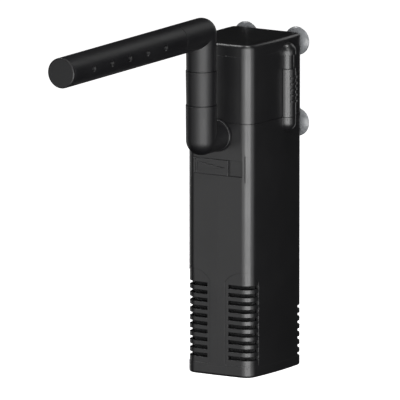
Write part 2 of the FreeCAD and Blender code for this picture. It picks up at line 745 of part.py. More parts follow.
rail_low = seam + d.rail_foot
rail_stem = box("rail_stem", across(d.rail_stem), (back - 0.5, back + d.running_gap + d.plate_thickness + 0.3),
                (rail_low, rail_low + d.rail_height))
lip_face = back + d.running_gap + d.plate_thickness + d.running_gap
rail_lip = box("rail_lip", across(d.rail_lip), (lip_face, lip_face + d.rail_lip_thickness),
               (rail_low, rail_low + d.rail_height))
skirt = casing_ring("skirt", d.wall + d.skirt_gap, d.wall + d.skirt_gap + d.rim_wall,
                    seam - d.skirt_height, seam + 1)
skirt_notch = box("skirt_notch", across(2 * notch + 4), (front - 5, front + 15), (seam - FAR / 3, seam))
skirt_piece = cut("skirt_piece", skirt, skirt_notch)
head_block = casing_block("head_block", 0, seam, head_top)
head_room = casing_block("head_room", d.wall, floor_top, head_top + 1)
head_cup = cut("head_cup", head_block, head_room)
head_solid = fuse("head_solid", head_cup, skirt_piece, rail_stem, rail_lip, *bosses)
well_hole = cylinder("well_hole", d.well_radius, FAR, 0, d.pump_y, seam - 5)
gland_z = head_top - d.gland_drop
gland_hole = cylinder("gland_hole", d.gland_radius, FAR / 3, 0, back - 10, gland_z, "Y")
shank_holes = []
for index, (x, y) in enumerate(screw_places):
    shank_holes.append(cylinder(f"shank_hole_{index}", d.screw_radius, d.screw_length, x, y, screw_start))
shadow_groove = casing_ring("shadow_groove", -1, d.groove_depth, seam, seam + d.groove_height)
part("head_shell", cut("head_body", head_solid, well_hole, gland_hole, shadow_groove, *shank_holes))

cover_block = casing_block("cover_block", 0, head_top, cover_top, d.cover_taper)
round_edges(cover_block, "Z", cover_top, d.cover_round)
cover_room = casing_block("cover_room", d.wall + 0.5, head_top - 1, cover_top - d.cover_roof)
cover_rim = casing_ring("cover_rim", d.wall + d.fit, d.wall + d.fit + d.rim_wall,
                        head_top - d.cover_rim, head_top + 1)
part("top_cover", fuse("cover_body", cut("cover_cup", cover_block, cover_room), cover_rim))

well_cup = cut("well_cup", cylinder("well_outer", d.well_radius, d.well_height, 0, d.pump_y, seam),
               cylinder("well_room", d.well_radius - d.well_wall, d.well_height - d.well_wall, 0, d.pump_y,
                        seam))
well_ring = tube("well_ring", d.well_flange, d.well_radius - d.well_wall, d.well_flange_height, 0, d.pump_y,
                 seam - d.well_flange_height)
part("rotor_well", fuse("well_body", well_cup, well_ring))

core_low = seam + d.core_level
core_mid = core_low + d.core_height / 2
core_end = d.pump_y + d.core_back
leg_y = (d.pump_y - d.core_front, core_end)
leg_right = box("leg_right", across(d.core_leg, d.core_spread), leg_y, (core_low, core_low + d.core_height))
leg_left = box("leg_left", across(d.core_leg, -d.core_spread), leg_y, (core_low, core_low + d.core_height))
yoke = box("yoke", across(2 * d.core_spread + d.core_leg), (core_end - d.core_leg, core_end),
           (core_low, core_low + d.core_height))
pole_gap = cylinder("pole_gap", d.well_radius + 0.2, FAR, 0, d.pump_y, seam)
core = part("stator_core", cut("core_body", fuse("core_solid", leg_right, leg_left, yoke), pole_gap))

bobbins = []
windings = []
for side, centre in (("right", d.core_spread), ("left", -d.core_spread)):
    start = d.pump_y + d.bobbin_start
    end = start + d.bobbin_length
    tube_x = d.core_leg + 2 * d.bobbin_wall
    tube_z = d.core_height + 2 * d.bobbin_wall
    spool = [box(f"bobbin_tube_{side}", across(tube_x, centre), (start, end), across(tube_z, core_mid))]
    for name, low in (("front", start), ("rear", end - d.bobbin_wall)):
        spool.append(box(f"bobbin_{name}_{side}", across(d.bobbin_width, centre),
                         (low, low + d.bobbin_wall), across(d.bobbin_height, core_mid)))
    leg_hole = box(f"leg_hole_{side}", across(d.core_leg, centre), (start - 1, end + 1),
                   across(d.core_height, core_mid))
    bobbins.append(cut(f"bobbin_{side}", fuse(f"spool_{side}", *spool), leg_hole))
    coil = box(f"coil_{side}", across(d.bobbin_width - 2 * d.winding_margin, centre),
               (start + d.bobbin_wall, end - d.bobbin_wall),
               across(d.bobbin_height - 2 * d.winding_margin, core_mid))
    coil_hole = box(f"coil_hole_{side}", across(tube_x, centre), (start - 1, end + 1),
                    across(tube_z, core_mid))
    windings.append(cut(f"winding_{side}", coil, coil_hole))
coil_bobbins = part("coil_bobbins", fuse("bobbin_pair", *bobbins))
coil_windings = part("coil_windings", fuse("winding_pair", *windings))

resin = casing_block("resin", d.wall, floor_top, head_top - d.potting_drop)
well_space = cylinder("well_space", d.well_radius, d.well_height, 0, d.pump_y, seam)
part("potting_resin", cut("resin_body", resin, well_space, core, coil_bobbins, coil_windings, *bosses))

gland_inner = back - d.wall - 1.6
gland_length = 1.6 + d.wall + d.gland_reach
part("cable_gland", turned("gland_body", [
    (d.gland_bore, 0), (d.gland_flange, 0), (d.gland_flange, 1.6), (d.gland_radius, 1.6),
    (d.gland_radius, 1.6 + d.wall + 1), (d.gland_radius - 0.5, gland_length), (d.gland_bore, gland_length),
], 0, gland_inner, gland_z, "Y"))

# ---------------------------------------------------------------- pump

volute_foot = seam - d.volute_height
volute_inside = d.volute_radius - d.volute_wall
ears = []
for index, (x, y) in enumerate(screw_places):
    ears.append(cylinder(f"ear_{index}", d.ear_radius, d.ear_height, x, y, screw_start))
spigot_end = front - d.spigot_reach
spigot_start = d.pump_y - d.volute_radius + 5
spigot = cylinder("spigot", d.spigot_radius, spigot_start - spigot_end, 0, spigot_start, outlet, "-Y")
volute_blank = cylinder("volute_blank", d.volute_radius, d.volute_height, 0, d.pump_y, volute_foot)
volute_room = cylinder("volute_room", volute_inside, d.volute_height - d.volute_roof, 0, d.pump_y,
                       volute_foot)
volute_eye = cylinder("volute_eye", d.magnet_radius + 1, FAR, 0, d.pump_y, volute_foot)
flange_seat = cylinder("flange_seat", d.well_flange, d.well_flange_height, 0, d.pump_y,
                       seam - d.well_flange_height)
seal_groove = tube("seal_groove", d.seal_radius + d.seal_cord, d.seal_radius - d.seal_cord, 2 * d.seal_cord,
                   0, d.pump_y, seam - 2 * d.seal_cord)
spigot_bore = cylinder("spigot_bore", d.spigot_bore, spigot_start - spigot_end + 5, 0, spigot_start + 5,
                       outlet, "-Y")
spigot_seal_y = (front - d.collar_thickness + spigot_end) / 2
seal_track = d.spigot_radius - d.spigot_seal_cord
spigot_groove = tube("spigot_groove", d.spigot_radius + 1, d.spigot_radius - 2 * d.spigot_seal_cord,
                     2 * d.spigot_seal_cord, 0, spigot_seal_y + d.spigot_seal_cord, outlet, "-Y")
part("pump_volute", cut("volute_body", fuse("volute_solid", volute_blank, spigot, *ears), volute_room,
                        volute_eye, flange_seat, seal_groove, spigot_bore, spigot_groove, *shank_holes))
part("volute_oring", ring("volute_seal", d.seal_radius, d.seal_cord - 0.02, 0, d.pump_y,
                          seam - d.seal_cord))
part("spigot_oring", ring("spigot_seal", seal_track, d.spigot_seal_cord - 0.05, 0, spigot_seal_y, outlet,
                          "Y"))
part("pump_screws", fuse("screw_group", *screws))

plate_low = volute_foot - d.volute_plate
cover_disc = cylinder("cover_disc", d.volute_radius, d.volute_plate, 0, d.pump_y, plate_low)
cover_plug = cylinder("cover_plug", volute_inside - d.fit, 1.4, 0, d.pump_y, volute_foot)
inlet = cylinder("inlet", d.inlet_radius, FAR, 0, d.pump_y, plate_low - 5)
hub_wall = d.bush_radius + 1.2
cover_hub = cylinder("cover_hub", hub_wall, d.volute_plate + 1.4, 0, d.pump_y, plate_low)
spokes = []
for index in range(3):
    spoke = box(f"spoke_{index}", (0, d.inlet_radius + 1), (-0.9, 0.9), (plate_low, plate_low + d.volute_plate))
    spoke.Placement = FreeCAD.Placement(
        FreeCAD.Vector(), FreeCAD.Rotation(FreeCAD.Vector(0, 0, 1), 30 + 120 * index))
    turn = math.radians(30 + 120 * index)
    bind(spoke, "Placement.Base.x", 0.9 * math.sin(turn))
    bind(spoke, "Placement.Base.y", d.pump_y - 0.9 * math.cos(turn))
    bind(spoke, "Placement.Base.z", plate_low)
    spokes.append(spoke)
bush_hole = cylinder("bush_hole", d.bush_radius, FAR, 0, d.pump_y, plate_low + 1)
part("volute_cover", cut("volute_cover_body", fuse(
    "cover_wheel", cut("cover_ring", fuse("cover_step", cover_disc, cover_plug), inlet), cover_hub, *spokes),
    bush_hole))

strainer_low = plate_low - d.strainer_height
strainer_cup = cut("strainer_cup",
                   cylinder("strainer_outer", d.strainer_radius, d.strainer_height, 0, d.pump_y, strainer_low),
                   cylinder("strainer_room", d.strainer_radius - d.strainer_wall, d.strainer_height, 0,
                            d.pump_y, strainer_low + d.strainer_wall))
strainer_slots = []
for index in range(4):
    slot = box(f"strainer_slot_{index}", (0, 2 * d.strainer_radius + 2), (0, 2.4),
               (strainer_low + 2.5, plate_low - 1.5))
    turn = math.radians(45 * index)
    reach = d.strainer_radius + 1
    slot.Placement = FreeCAD.Placement(FreeCAD.Vector(), FreeCAD.Rotation(FreeCAD.Vector(0, 0, 1), 45 * index))
    bind(slot, "Placement.Base.x", 1.2 * math.sin(turn) - reach * math.cos(turn))
    bind(slot, "Placement.Base.y", d.pump_y - 1.2 * math.cos(turn) - reach * math.sin(turn))
    bind(slot, "Placement.Base.z", strainer_low + 2.5)
    strainer_slots.append(slot)
part("inlet_strainer", cut("strainer_body", strainer_cup, *strainer_slots))

disc_top = seam - d.volute_roof - 1
vane_foot = disc_top - d.disc_height - d.vane_height
magnet_low = seam - d.volute_roof + 1.2
hub_top = magnet_low + d.magnet_length + 0.8
bush_low = well_top - d.well_wall - d.bush_height
part("lower_bush", tube("lower_bush_body", d.bush_radius, d.shaft_radius, vane_foot - 0.4 - plate_low - 1,
                        0, d.pump_y, plate_low + 1))
part("upper_bush", tube("upper_bush_body", d.well_radius - d.well_wall, d.shaft_radius, d.bush_height, 0,
                        d.pump_y, bush_low))
part("impeller_shaft", cylinder("shaft_body", d.shaft_radius, bush_low + d.bush_height - 0.5 - plate_low - 1.5,
                                0, d.pump_y, plate_low + 1.5))
shaft_hole = cylinder("shaft_hole", d.shaft_radius + d.shaft_fit, FAR * 2, 0, d.pump_y, plate_low)
hub = cylinder("hub", d.hub_radius, hub_top - vane_foot, 0, d.pump_y, vane_foot)
disc = cylinder("disc", d.disc_radius, d.disc_height, 0, d.pump_y, disc_top - d.disc_height)
vanes = []
for index in range(int(d.vane_count.value)):
    angle = 360 * index / d.vane_count.value
    turn = math.radians(angle)
    vane = box(f"vane_{index}", (0, d.vane_radius), (0, d.vane_thickness), (0, d.vane_height))
    vane.Placement = FreeCAD.Placement(FreeCAD.Vector(), FreeCAD.Rotation(FreeCAD.Vector(0, 0, 1), angle))
    bind(vane, "Placement.Base.x", d.vane_thickness / 2 * math.sin(turn))
    bind(vane, "Placement.Base.y", d.pump_y - d.vane_thickness / 2 * math.cos(turn))
    bind(vane, "Placement.Base.z", vane_foot)
    vanes.append(vane)
part("impeller", cut("impeller_body", fuse("impeller_solid", hub, disc, *vanes), shaft_hole))
part("rotor_magnet", tube("magnet_body", d.magnet_radius, d.hub_radius, d.magnet_length, 0, d.pump_y,
                          magnet_low))
part("thrust_washer", tube("washer_body", d.hub_radius, d.shaft_radius + d.shaft_fit, 0.8, 0, d.pump_y,
                           hub_top + 0.1))

# ---------------------------------------------------------------- latches

slide_low = seam + d.running_gap
slide_top = head_top - d.latch_headroom
cap_low = slide_top + d.latch_travel
rail_start = seam + d.latch_foot + d.latch_travel + 1


def latch_round(name, radius, low, high):
    return cylinder(name, radius, high - as_size(low), latch_x, d.latch_y, low)


slide_space = box("slide_space", (half_width + d.running_gap, half_width + FAR), across(2 * FAR, d.latch_y),
                  (seam, slide_top + 1))
rib_pitch = (slide_top - seam - d.rib_first - d.rib_margin) / d.rib_count
ribs = []
for index in range(int(d.rib_count.value)):
    level = seam + d.rib_first + index * rib_pitch
    ribs.append(common(
        f"rib_{index}",
        latch_round(f"rib_round_{index}", d.latch_radius + d.rib_relief, level, level + d.rib_height),
        box(f"rib_block_{index}", (half_width + 1, half_width + FAR), across(d.rib_width, d.latch_y),
            (level, level + d.rib_height))))
slide_round = common("slide_round", latch_round("slide_outer", d.latch_radius, slide_low, slide_top),
                     slide_space)
tongue = box("tongue", (tongue_x, tongue_x + d.tongue_thickness), across(d.tongue_width, d.latch_y),
             (seam - d.tongue_length, slide_low + 2))
rail_groove = latch_round("rail_groove", d.rail_radius + d.rail_fit, seam + d.latch_foot, slide_top + 1)
latch_slide = cut("latch_slide", fuse("slide_solid", slide_round, tongue, *ribs), rail_groove)
part("latch_slide_right", latch_slide)
part("latch_slide_left", mirrored("latch_slide_mirror", latch_slide))

rail_bar = latch_round("rail_bar", d.rail_radius, rail_start, cap_low)
cap_level = cap_low + d.cap_height
cap_base = latch_round("cap_base", d.latch_radius, cap_low, cap_level)
cap_ball = sphere("cap_ball", d.latch_radius, latch_x, d.latch_y, cap_level)
cap_space = box("cap_space", (half_width - 2, half_width + FAR), across(2 * FAR, d.latch_y),
                (cap_low, cover_top + 10))
cap = common("cap", fuse("cap_round", cap_base, cap_ball), cap_space)
rail_space = box("rail_space", (half_width - 2, half_width + FAR), across(2 * FAR, d.latch_y),
                 (rail_start, cap_low + 1))
rail_half = common("rail_half", rail_bar, rail_space)
casing_space = casing_block("casing_space", 0, seam, cover_top + 5)
latch_rail = cut("latch_rail", fuse("rail_solid", cap, rail_half), casing_space)
part("latch_rail_right", latch_rail)
part("latch_rail_left", mirrored("latch_rail_mirror", latch_rail))

# ---------------------------------------------------------------- outlet tube

collar_face = front - d.running_gap - d.collar_thickness
collar = turned("collar", [(d.spigot_radius, 0), (d.collar_radius, 0), (d.collar_radius, d.collar_thickness),
                           (d.spigot_radius, d.collar_thickness)],
                0, front - d.running_gap, outlet, "-Y")
round_edges(collar, "Z", d.collar_thickness, d.collar_round)
part("outlet_collar", collar)

socket_bore = d.socket_radius + d.socket_fit
half_gap = d.joint_gap / 2
leg_start = collar_face - d.running_gap

lower_outer = fuse(
    "lower_outer",
    sphere("lower_ball", d.tube_radius, 0, riser_y, outlet),
    cylinder("lower_leg", d.tube_radius, leg_start - riser_y, 0, riser_y, outlet, "Y"),
    cone("lower_riser", d.tube_radius, d.tube_radius + d.tube_taper, d.lower_leg - half_gap, 0, riser_y,
         outlet))
part("lower_elbow", cut(
    "lower_body", lower_outer,
    sphere("lower_room", d.tube_bore, 0, riser_y, outlet),
    cylinder("lower_bore", d.tube_bore, d.lower_leg, 0, riser_y, outlet),
    cylinder("lower_cross", d.tube_bore, spigot_end - riser_y - d.running_gap, 0, riser_y, outlet, "Y"),
    cylinder("spigot_socket", d.spigot_radius + d.socket_fit, FAR, 0, riser_y, outlet, "Y"),
    cylinder("lower_socket", socket_bore, FAR, 0, riser_y, lower_joint - d.socket_depth - half_gap)))

riser_outer = cone("riser_outer", d.tube_radius - d.tube_taper, d.tube_radius + d.tube_taper,
                   d.riser_length - d.joint_gap, 0, riser_y, lower_joint + half_gap)
riser_plug = cylinder("riser_plug", d.socket_radius, d.socket_depth + 1, 0, riser_y,
                      lower_joint - d.socket_depth)
part("riser_tube", cut(
    "riser_body", fuse("riser_solid", riser_outer, riser_plug),
    cylinder("riser_bore", d.tube_bore, FAR, 0, riser_y, lower_joint - 2 * d.socket_depth),
    cylinder("riser_socket", socket_bore, FAR, 0, riser_y, upper_joint - d.socket_depth - half_gap)))

upper_outer = fuse(
    "upper_outer",
    sphere("upper_ball", d.tube_radius, 0, riser_y, bar_level),
    cone("upper_riser", d.tube_radius - d.tube_taper, d.tube_radius, d.upper_leg - half_gap, 0, riser_y,
         upper_joint + half_gap),
    cylinder("upper_leg", d.tube_radius, d.bar_start - half_gap, 0, riser_y, bar_level, "-Y"),
    cylinder("upper_plug", d.socket_radius, d.socket_depth + 1, 0, riser_y, upper_joint - d.socket_depth))
part("upper_elbow", cut(
    "upper_body", upper_outer,
    sphere("upper_room", d.tube_bore, 0, riser_y, bar_level),
    cylinder("upper_bore", d.tube_bore, d.upper_leg + 2 * d.socket_depth, 0, riser_y,
             upper_joint - 2 * d.socket_depth),
    cylinder("upper_cross", d.tube_bore, FAR, 0, riser_y, bar_level, "-Y"),
    cylinder("bar_socket", socket_bore, FAR, 0, bar_y + d.socket_depth + half_gap, bar_level, "-Y")))

bar_tube = cylinder("bar_tube", d.tube_radius, d.bar_length - d.end_cap - half_gap, 0, bar_y - half_gap,
                    bar_level, "-Y")
bar_plug = cylinder("bar_plug", d.socket_radius, d.socket_depth + 1, 0, bar_y + d.socket_depth, bar_level,
                    "-Y")
bar_bore = cylinder("bar_bore", d.tube_bore, d.bar_length + 5 * FAR, 0, bar_y + FAR, bar_level, "-Y")
jets = []
for index in range(int(d.jet_count.value)):
    jets.append(cone(f"jet_{index}", d.jet_bore, d.jet_radius, d.tube_radius + 1 - d.tube_bore,
                     d.tube_bore - 1, bar_y - d.jet_first - index * d.jet_pitch, bar_level, "X"))
part("spray_bar", cut("bar_body", fuse("bar_solid", bar_tube, bar_plug), bar_bore, *jets))

end_disc = turned("end_disc", [(0, 0), (d.tube_radius, 0), (d.tube_radius, d.end_cap - d.fit),
                               (0, d.end_cap - d.fit)],
                  0, cap_y + d.end_cap - d.fit, bar_level, "-Y")
round_edges(end_disc, "Z", d.end_cap - d.fit, d.end_cap_round)
end_plug = cylinder("end_plug", d.tube_bore - d.socket_fit, d.end_plug + 1, 0,
                    cap_y + d.end_cap + d.end_plug, bar_level, "-Y")
part("bar_end_cap", fuse("end_body", end_disc, end_plug))

# ---------------------------------------------------------------- bracket and suction cups

plate_y = back + d.running_gap
cup_high = d.cup_low + d.cup_spacing
plate_edge = d.cup_x + d.plate_overlap
cup_places = []
for side, x in (("right", d.cup_x), ("left", -d.cup_x)):
    for level, z in (("upper", cup_high), ("lower", d.cup_low)):
        cup_places.append((f"{level}_{side}", x, z))

bracket_blank = box("bracket_blank", across(2 * plate_edge), (plate_y, plate_y + d.plate_thickness),
                    (d.cup_low - 6.5, cup_high + 5.5))
bracket_slot = box("bracket_slot", across(d.rail_stem + 2 * d.running_gap), (plate_y - 1, plate_y + 10),
                   (rail_low - 1, cup_high + 10))
cup_seats = []
for name, x, z in cup_places:
    cup_seats.append(cylinder(f"neck_hole_{name}", d.cup_neck, 10, x, plate_y - 1, z, "Y"))
    cup_seats.append(cylinder(f"button_seat_{name}", d.cup_button, d.button_height + 1, x, plate_y - 1, z,
                              "Y"))
part("bracket_plate", cut("bracket_body", bracket_blank, bracket_slot, *cup_seats))

for name, x, z in cup_places:
    neck_end = d.plate_thickness
    rim = d.plate_thickness + d.cup_height
    part(f"suction_cup_{name}", turned(f"cup_{name}", [
        (0, 0), (d.cup_button, 0), (d.cup_button, d.button_height), (d.cup_neck, d.button_height),
        (d.cup_neck, neck_end), (d.cup_neck + 3, neck_end + 0.1), (d.cup_radius - 2.5, rim - 1.7),
        (d.cup_radius, rim - 0.4), (d.cup_radius, rim), (d.cup_radius - 1, rim),
        (d.cup_neck + 3, rim - 1.6), (0, rim - 2.1),
    ], x, plate_y, z, "Y"))

# ---------------------------------------------------------------- check and export

doc.recompute()
for item in doc.Objects:
    if "Invalid" in item.State or "Error" in item.State:
        raise RuntimeError(f"{item.Name} did not build: {item.State}")

os.makedirs("parts", exist_ok=True)
for item in parts:
    shape = item.Shape
    if shape.isNull() or not shape.isValid() or shape.Volume <= 0:
        raise RuntimeError(f"{item.Label} has no valid solid")
    shape.exportStep(f"parts/{item.Label}.step")
    print(f"{item.Label}: {len(shape.Solids)} solid(s), {shape.Volume:.0f} mm3")
print(f"{len(parts)} pieces")
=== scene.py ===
# %% [markdown]
# # Internal aquarium filter
#
# The filter is a tall slotted canister with a motor head latched on top. A jointed tube leaves the
# front of the head and ends in a spray bar. Nearly everything is black moulded plastic, so the look
# depends on clean edges, on how a satin surface catches a few large lights, and on the soft parts:
# the suction cups, the sponge and the carbon bag.
#
# The engineering model is loaded first, as a fixed frame. It already holds every hard piece at its
# real size. What is made here are the finishes, the soft pieces and the studio.

# %% Load the frame
import math

import bmesh
import bpy
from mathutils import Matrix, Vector


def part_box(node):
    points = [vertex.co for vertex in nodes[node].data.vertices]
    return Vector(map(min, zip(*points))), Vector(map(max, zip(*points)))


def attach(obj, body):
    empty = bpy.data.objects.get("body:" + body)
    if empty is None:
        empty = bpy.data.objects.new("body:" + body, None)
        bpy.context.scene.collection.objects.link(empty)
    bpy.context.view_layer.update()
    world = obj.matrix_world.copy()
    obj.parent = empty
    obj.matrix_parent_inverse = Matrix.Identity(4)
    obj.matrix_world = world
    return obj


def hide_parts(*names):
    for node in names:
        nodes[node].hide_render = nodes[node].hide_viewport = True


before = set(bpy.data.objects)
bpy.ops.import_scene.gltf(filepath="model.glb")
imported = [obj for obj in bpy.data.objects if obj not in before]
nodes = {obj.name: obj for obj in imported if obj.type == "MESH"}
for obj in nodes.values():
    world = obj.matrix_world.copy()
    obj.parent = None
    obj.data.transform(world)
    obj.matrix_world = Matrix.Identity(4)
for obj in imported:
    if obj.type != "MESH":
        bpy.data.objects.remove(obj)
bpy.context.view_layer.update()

# %% [markdown]
# ## Units, colours and shader nodes
#
# Blender works in metres, but a maker thinks of this object in millimetres, so `MM` turns one into
# the other. Colours are written as sRGB hex values, the way a plastics chart gives them, and one
# function turns them into the linear values that a shader wants. Building a material means adding
# many shader nodes, so one small function adds a node, sets it and links it.

# %% Small helpers
MM = 0.001


def linear(hex_colour):
    """An sRGB hex colour as linear RGBA."""
    values = []
    for index in (1, 3, 5):
        channel = int(hex_colour[index:index + 2], 16) / 255
        values.append(channel / 12.92 if channel <= 0.04045 else ((channel + 0.055) / 1.055) ** 2.4)
    return (*values, 1.0)


def add_node(tree, kind, settings, links):
    """Adds a node, sets its properties and input values, and links its inputs."""
    node = tree.nodes.new(kind)
    for name, value in settings.items():
        if isinstance(name, str) and hasattr(node, name):
            setattr(node, name, value)
        else:
            node.inputs[name].default_value = value
    for name, socket in links.items():
        tree.links.new(socket, node.inputs[name])
    return node


def new_material(name):
    """A material, its node tree, its shader, and Object coordinates in millimetres."""
    material = bpy.data.materials.new(name)
    material.use_nodes = True
    tree = material.node_tree
    shader = tree.nodes["Principled BSDF"]
    place = add_node(tree, "ShaderNodeTexCoord", {}, {})
    in_mm = add_node(tree, "ShaderNodeVectorMath", {"operation": "SCALE", "Scale": 1 / MM},
                     {"Vector": place.outputs["Object"]})
    return tree, shader, in_mm.outputs["Vector"], material


def wear(material, *names):
    """Puts one finish on the frame's own nodes."""
    for name in names:
        nodes[name].data.materials.clear()
        nodes[name].data.materials.append(material)


print("one millimetre is", MM, "m")

# %% [markdown]
# ## Camera
#
# The filter is seen from its front, turned a third of the way towards its right side, from slightly
# above. Upright edges stay parallel when the camera is far away and its lens is long, as on a
# catalogue drawing. The camera's own axes are worked out from its azimuth and elevation, so that
# it needs no tracking constraint.

# %% Camera
AZIMUTH = math.radians(31.35)
ELEVATION = math.radians(10.61)
LENS = 1650.0
FRAME_WIDTH = 302.5 * MM
SENSOR = 36.0
FAR_CLIP = 200.0

aim = Vector((-39.6, 3.21, 124.65)) * MM
towards = Vector((math.sin(AZIMUTH) * math.cos(ELEVATION), -math.cos(AZIMUTH) * math.cos(ELEVATION),
                  math.sin(ELEVATION)))
distance = FRAME_WIDTH * LENS / SENSOR
camera = bpy.data.objects.new("studio_camera", bpy.data.cameras.new("studio_camera"))
camera.data.lens = LENS
camera.data.sensor_width = SENSOR
camera.data.clip_end = FAR_CLIP
camera.location = aim + towards * distance
camera.rotation_euler = towards.to_track_quat("Z", "Y").to_euler()
bpy.context.scene.collection.objects.link(camera)
bpy.context.scene.camera = camera
print("camera", round(distance, 3), "m away")

# %% [markdown]
# ## Black ABS casing
#
# The casing, the cover and the latches are injection-moulded ABS, coloured through with carbon
# black. The steel mould was spark-eroded, which leaves a fine even grain, so the surface is satin
# and not mirror-like. Handling and slow cooling make the gloss drift a little over a few
# centimetres. The grain is bump from a fine noise, the drift is a wide noise on the roughness, and
# the Bevel node rounds the moulded edges by a quarter of a millimetre, which lets them catch light.

# %% Black ABS
ABS_COLOUR = "#141415"
LATCH_COLOUR = "#151516"
ABS_IOR = 1.57
EDGE_RADIUS = 0.25 * MM
GRAIN = 0.35
DRIFT = 28.0


def black_plastic(name, colour, index, gloss_low, gloss_high, grain_depth, edge_radius):
    """Moulded black plastic with spark-eroded grain, drifting gloss and softened edges."""
    tree, shader, place, material = new_material(name)
    grain = add_node(tree, "ShaderNodeTexNoise", {"Scale": 1 / GRAIN, "Detail": 2.0}, {"Vector": place})
    drift = add_node(tree, "ShaderNodeTexNoise", {"Scale": 1 / DRIFT, "Detail": 3.0}, {"Vector": place})
    gloss = add_node(tree, "ShaderNodeMapRange",
                     {"From Min": 0.3, "From Max": 0.7, "To Min": gloss_low, "To Max": gloss_high},
                     {"Value": drift.outputs["Fac"]})
    edge = add_node(tree, "ShaderNodeBevel", {"samples": 4, "Radius": edge_radius}, {})
    bump = add_node(tree, "ShaderNodeBump", {"Strength": 0.25, "Distance": grain_depth * MM},
                    {"Height": grain.outputs["Fac"], "Normal": edge.outputs["Normal"]})
    shader.inputs["Base Color"].default_value = linear(colour)
    shader.inputs["IOR"].default_value = index
    tree.links.new(gloss.outputs["Result"], shader.inputs["Roughness"])
    tree.links.new(bump.outputs["Normal"], shader.inputs["Normal"])
    return material


black_abs = black_plastic("spark_eroded_black_abs", ABS_COLOUR, ABS_IOR, 0.31, 0.37, 0.02, EDGE_RADIUS)
wear(black_abs, "canister_shell", "base_cap", "head_shell", "top_cover", "latch_rail_right",
     "latch_rail_left", "bracket_plate", "flow_slider", "flow_shutter", "inlet_strainer")
latch_abs = black_plastic("smooth_black_abs", LATCH_COLOUR, ABS_IOR, 0.30, 0.36, 0.01, EDGE_RADIUS)
wear(latch_abs, "latch_slide_right", "latch_slide_left")
print("black casing nodes wear", black_abs.name)

# %% [markdown]
# ## Black tube
#
# The elbows, the riser and the spray bar are black polypropylene, a softer plastic than ABS. Its
# surface is a little duller than the casing, with hardly any grain and a very faint waviness from
# the plastic's flow. The same recipe serves, with less grain and a higher roughness.

# %% Black tube
PP_IOR = 1.46
TUBE_COLOUR = "#08080A"
TUBE_EDGE_RADIUS = 0.2 * MM
tube_plastic = black_plastic("satin_black_polypropylene", TUBE_COLOUR, PP_IOR, 0.42, 0.50, 0.008,
                             TUBE_EDGE_RADIUS)
wear(tube_plastic, "outlet_collar", "lower_elbow", "riser_tube", "upper_elbow", "spray_bar",
     "bar_end_cap")
print("tube nodes wear", tube_plastic.name)

# %% [markdown]
# ## Grey polypropylene
#
# The pieces inside the filter that nobody sees in use are moulded from uncoloured grey
# polypropylene. It is waxy rather than glossy and lets a little light in, which a touch of
# subsurface scattering gives. Its flow marks are long soft streaks, drawn by a noise that is
# stretched along the height.

# %% Grey polypropylene
STREAK_WIDTH = 3.0
STREAK_LENGTH = 30.0
tree, shader, place, grey_polypropylene = new_material("moulded_grey_polypropylene")
stretched = add_node(tree, "ShaderNodeMapping",
                     {"Scale": (1 / STREAK_WIDTH, 1 / STREAK_WIDTH, 1 / STREAK_LENGTH)}, {"Vector": place})
streaks = add_node(tree, "ShaderNodeTexNoise", {"Scale": 1.0, "Detail": 3.0},
                   {"Vector": stretched.outputs["Vector"]})
tones = add_node(tree, "ShaderNodeMix", {"data_type": "RGBA", 6: linear("#6E7174"), 7: linear("#83868A")},
                 {0: streaks.outputs["Fac"]})
waxy = add_node(tree, "ShaderNodeMapRange", {"To Min": 0.42, "To Max": 0.56},
                {"Value": streaks.outputs["Fac"]})
tree.links.new(tones.outputs[2], shader.inputs["Base Color"])
tree.links.new(waxy.outputs["Result"], shader.inputs["Roughness"])
shader.inputs["IOR"].default_value = 1.49
shader.inputs["Subsurface Weight"].default_value = 0.08
shader.inputs["Subsurface Radius"].default_value = (0.5 * MM, 0.5 * MM, 0.5 * MM)
wear(grey_polypropylene, "media_basket", "basket_lid", "rotor_well", "coil_bobbins", "pump_volute",
     "volute_cover", "impeller")
print("grey streaks", STREAK_WIDTH, "by", STREAK_LENGTH, "mm")

# %% [markdown]
# ## Laminated steel
#
# A stator is a pack of thin silicon-steel sheets, stamped and stacked. Seen from the side it is a
# fine ladder of dark gaps between bright edges. A wave texture that repeats with the height draws
# it. Real sheets are half a millimetre thick, and the pattern uses that size.

# %% Laminated steel
SHEET = 0.5
tree, shader, place, steel_sheets = new_material("stacked_silicon_steel")
layers = add_node(tree, "ShaderNodeTexWave",
                  {"wave_type": "BANDS", "bands_direction": "Z", "Scale": math.pi / (10 * SHEET),
                   "Distortion": 0.2}, {"Vector": place})
blued = add_node(tree, "ShaderNodeMix", {"data_type": "RGBA", 6: linear("#3B3F45"), 7: linear("#8E949B")},
                 {0: layers.outputs["Fac"]})
edges = add_node(tree, "ShaderNodeBump", {"Strength": 0.5, "Distance": 0.1 * MM},
                 {"Height": layers.outputs["Fac"]})
tree.links.new(blued.outputs[2], shader.inputs["Base Color"])
tree.links.new(edges.outputs["Normal"], shader.inputs["Normal"])
shader.inputs["Metallic"].default_value = 1.0
shader.inputs["Roughness"].default_value = 0.38
wear(steel_sheets, "stator_core")
print("steel sheets", SHEET, "mm thick")
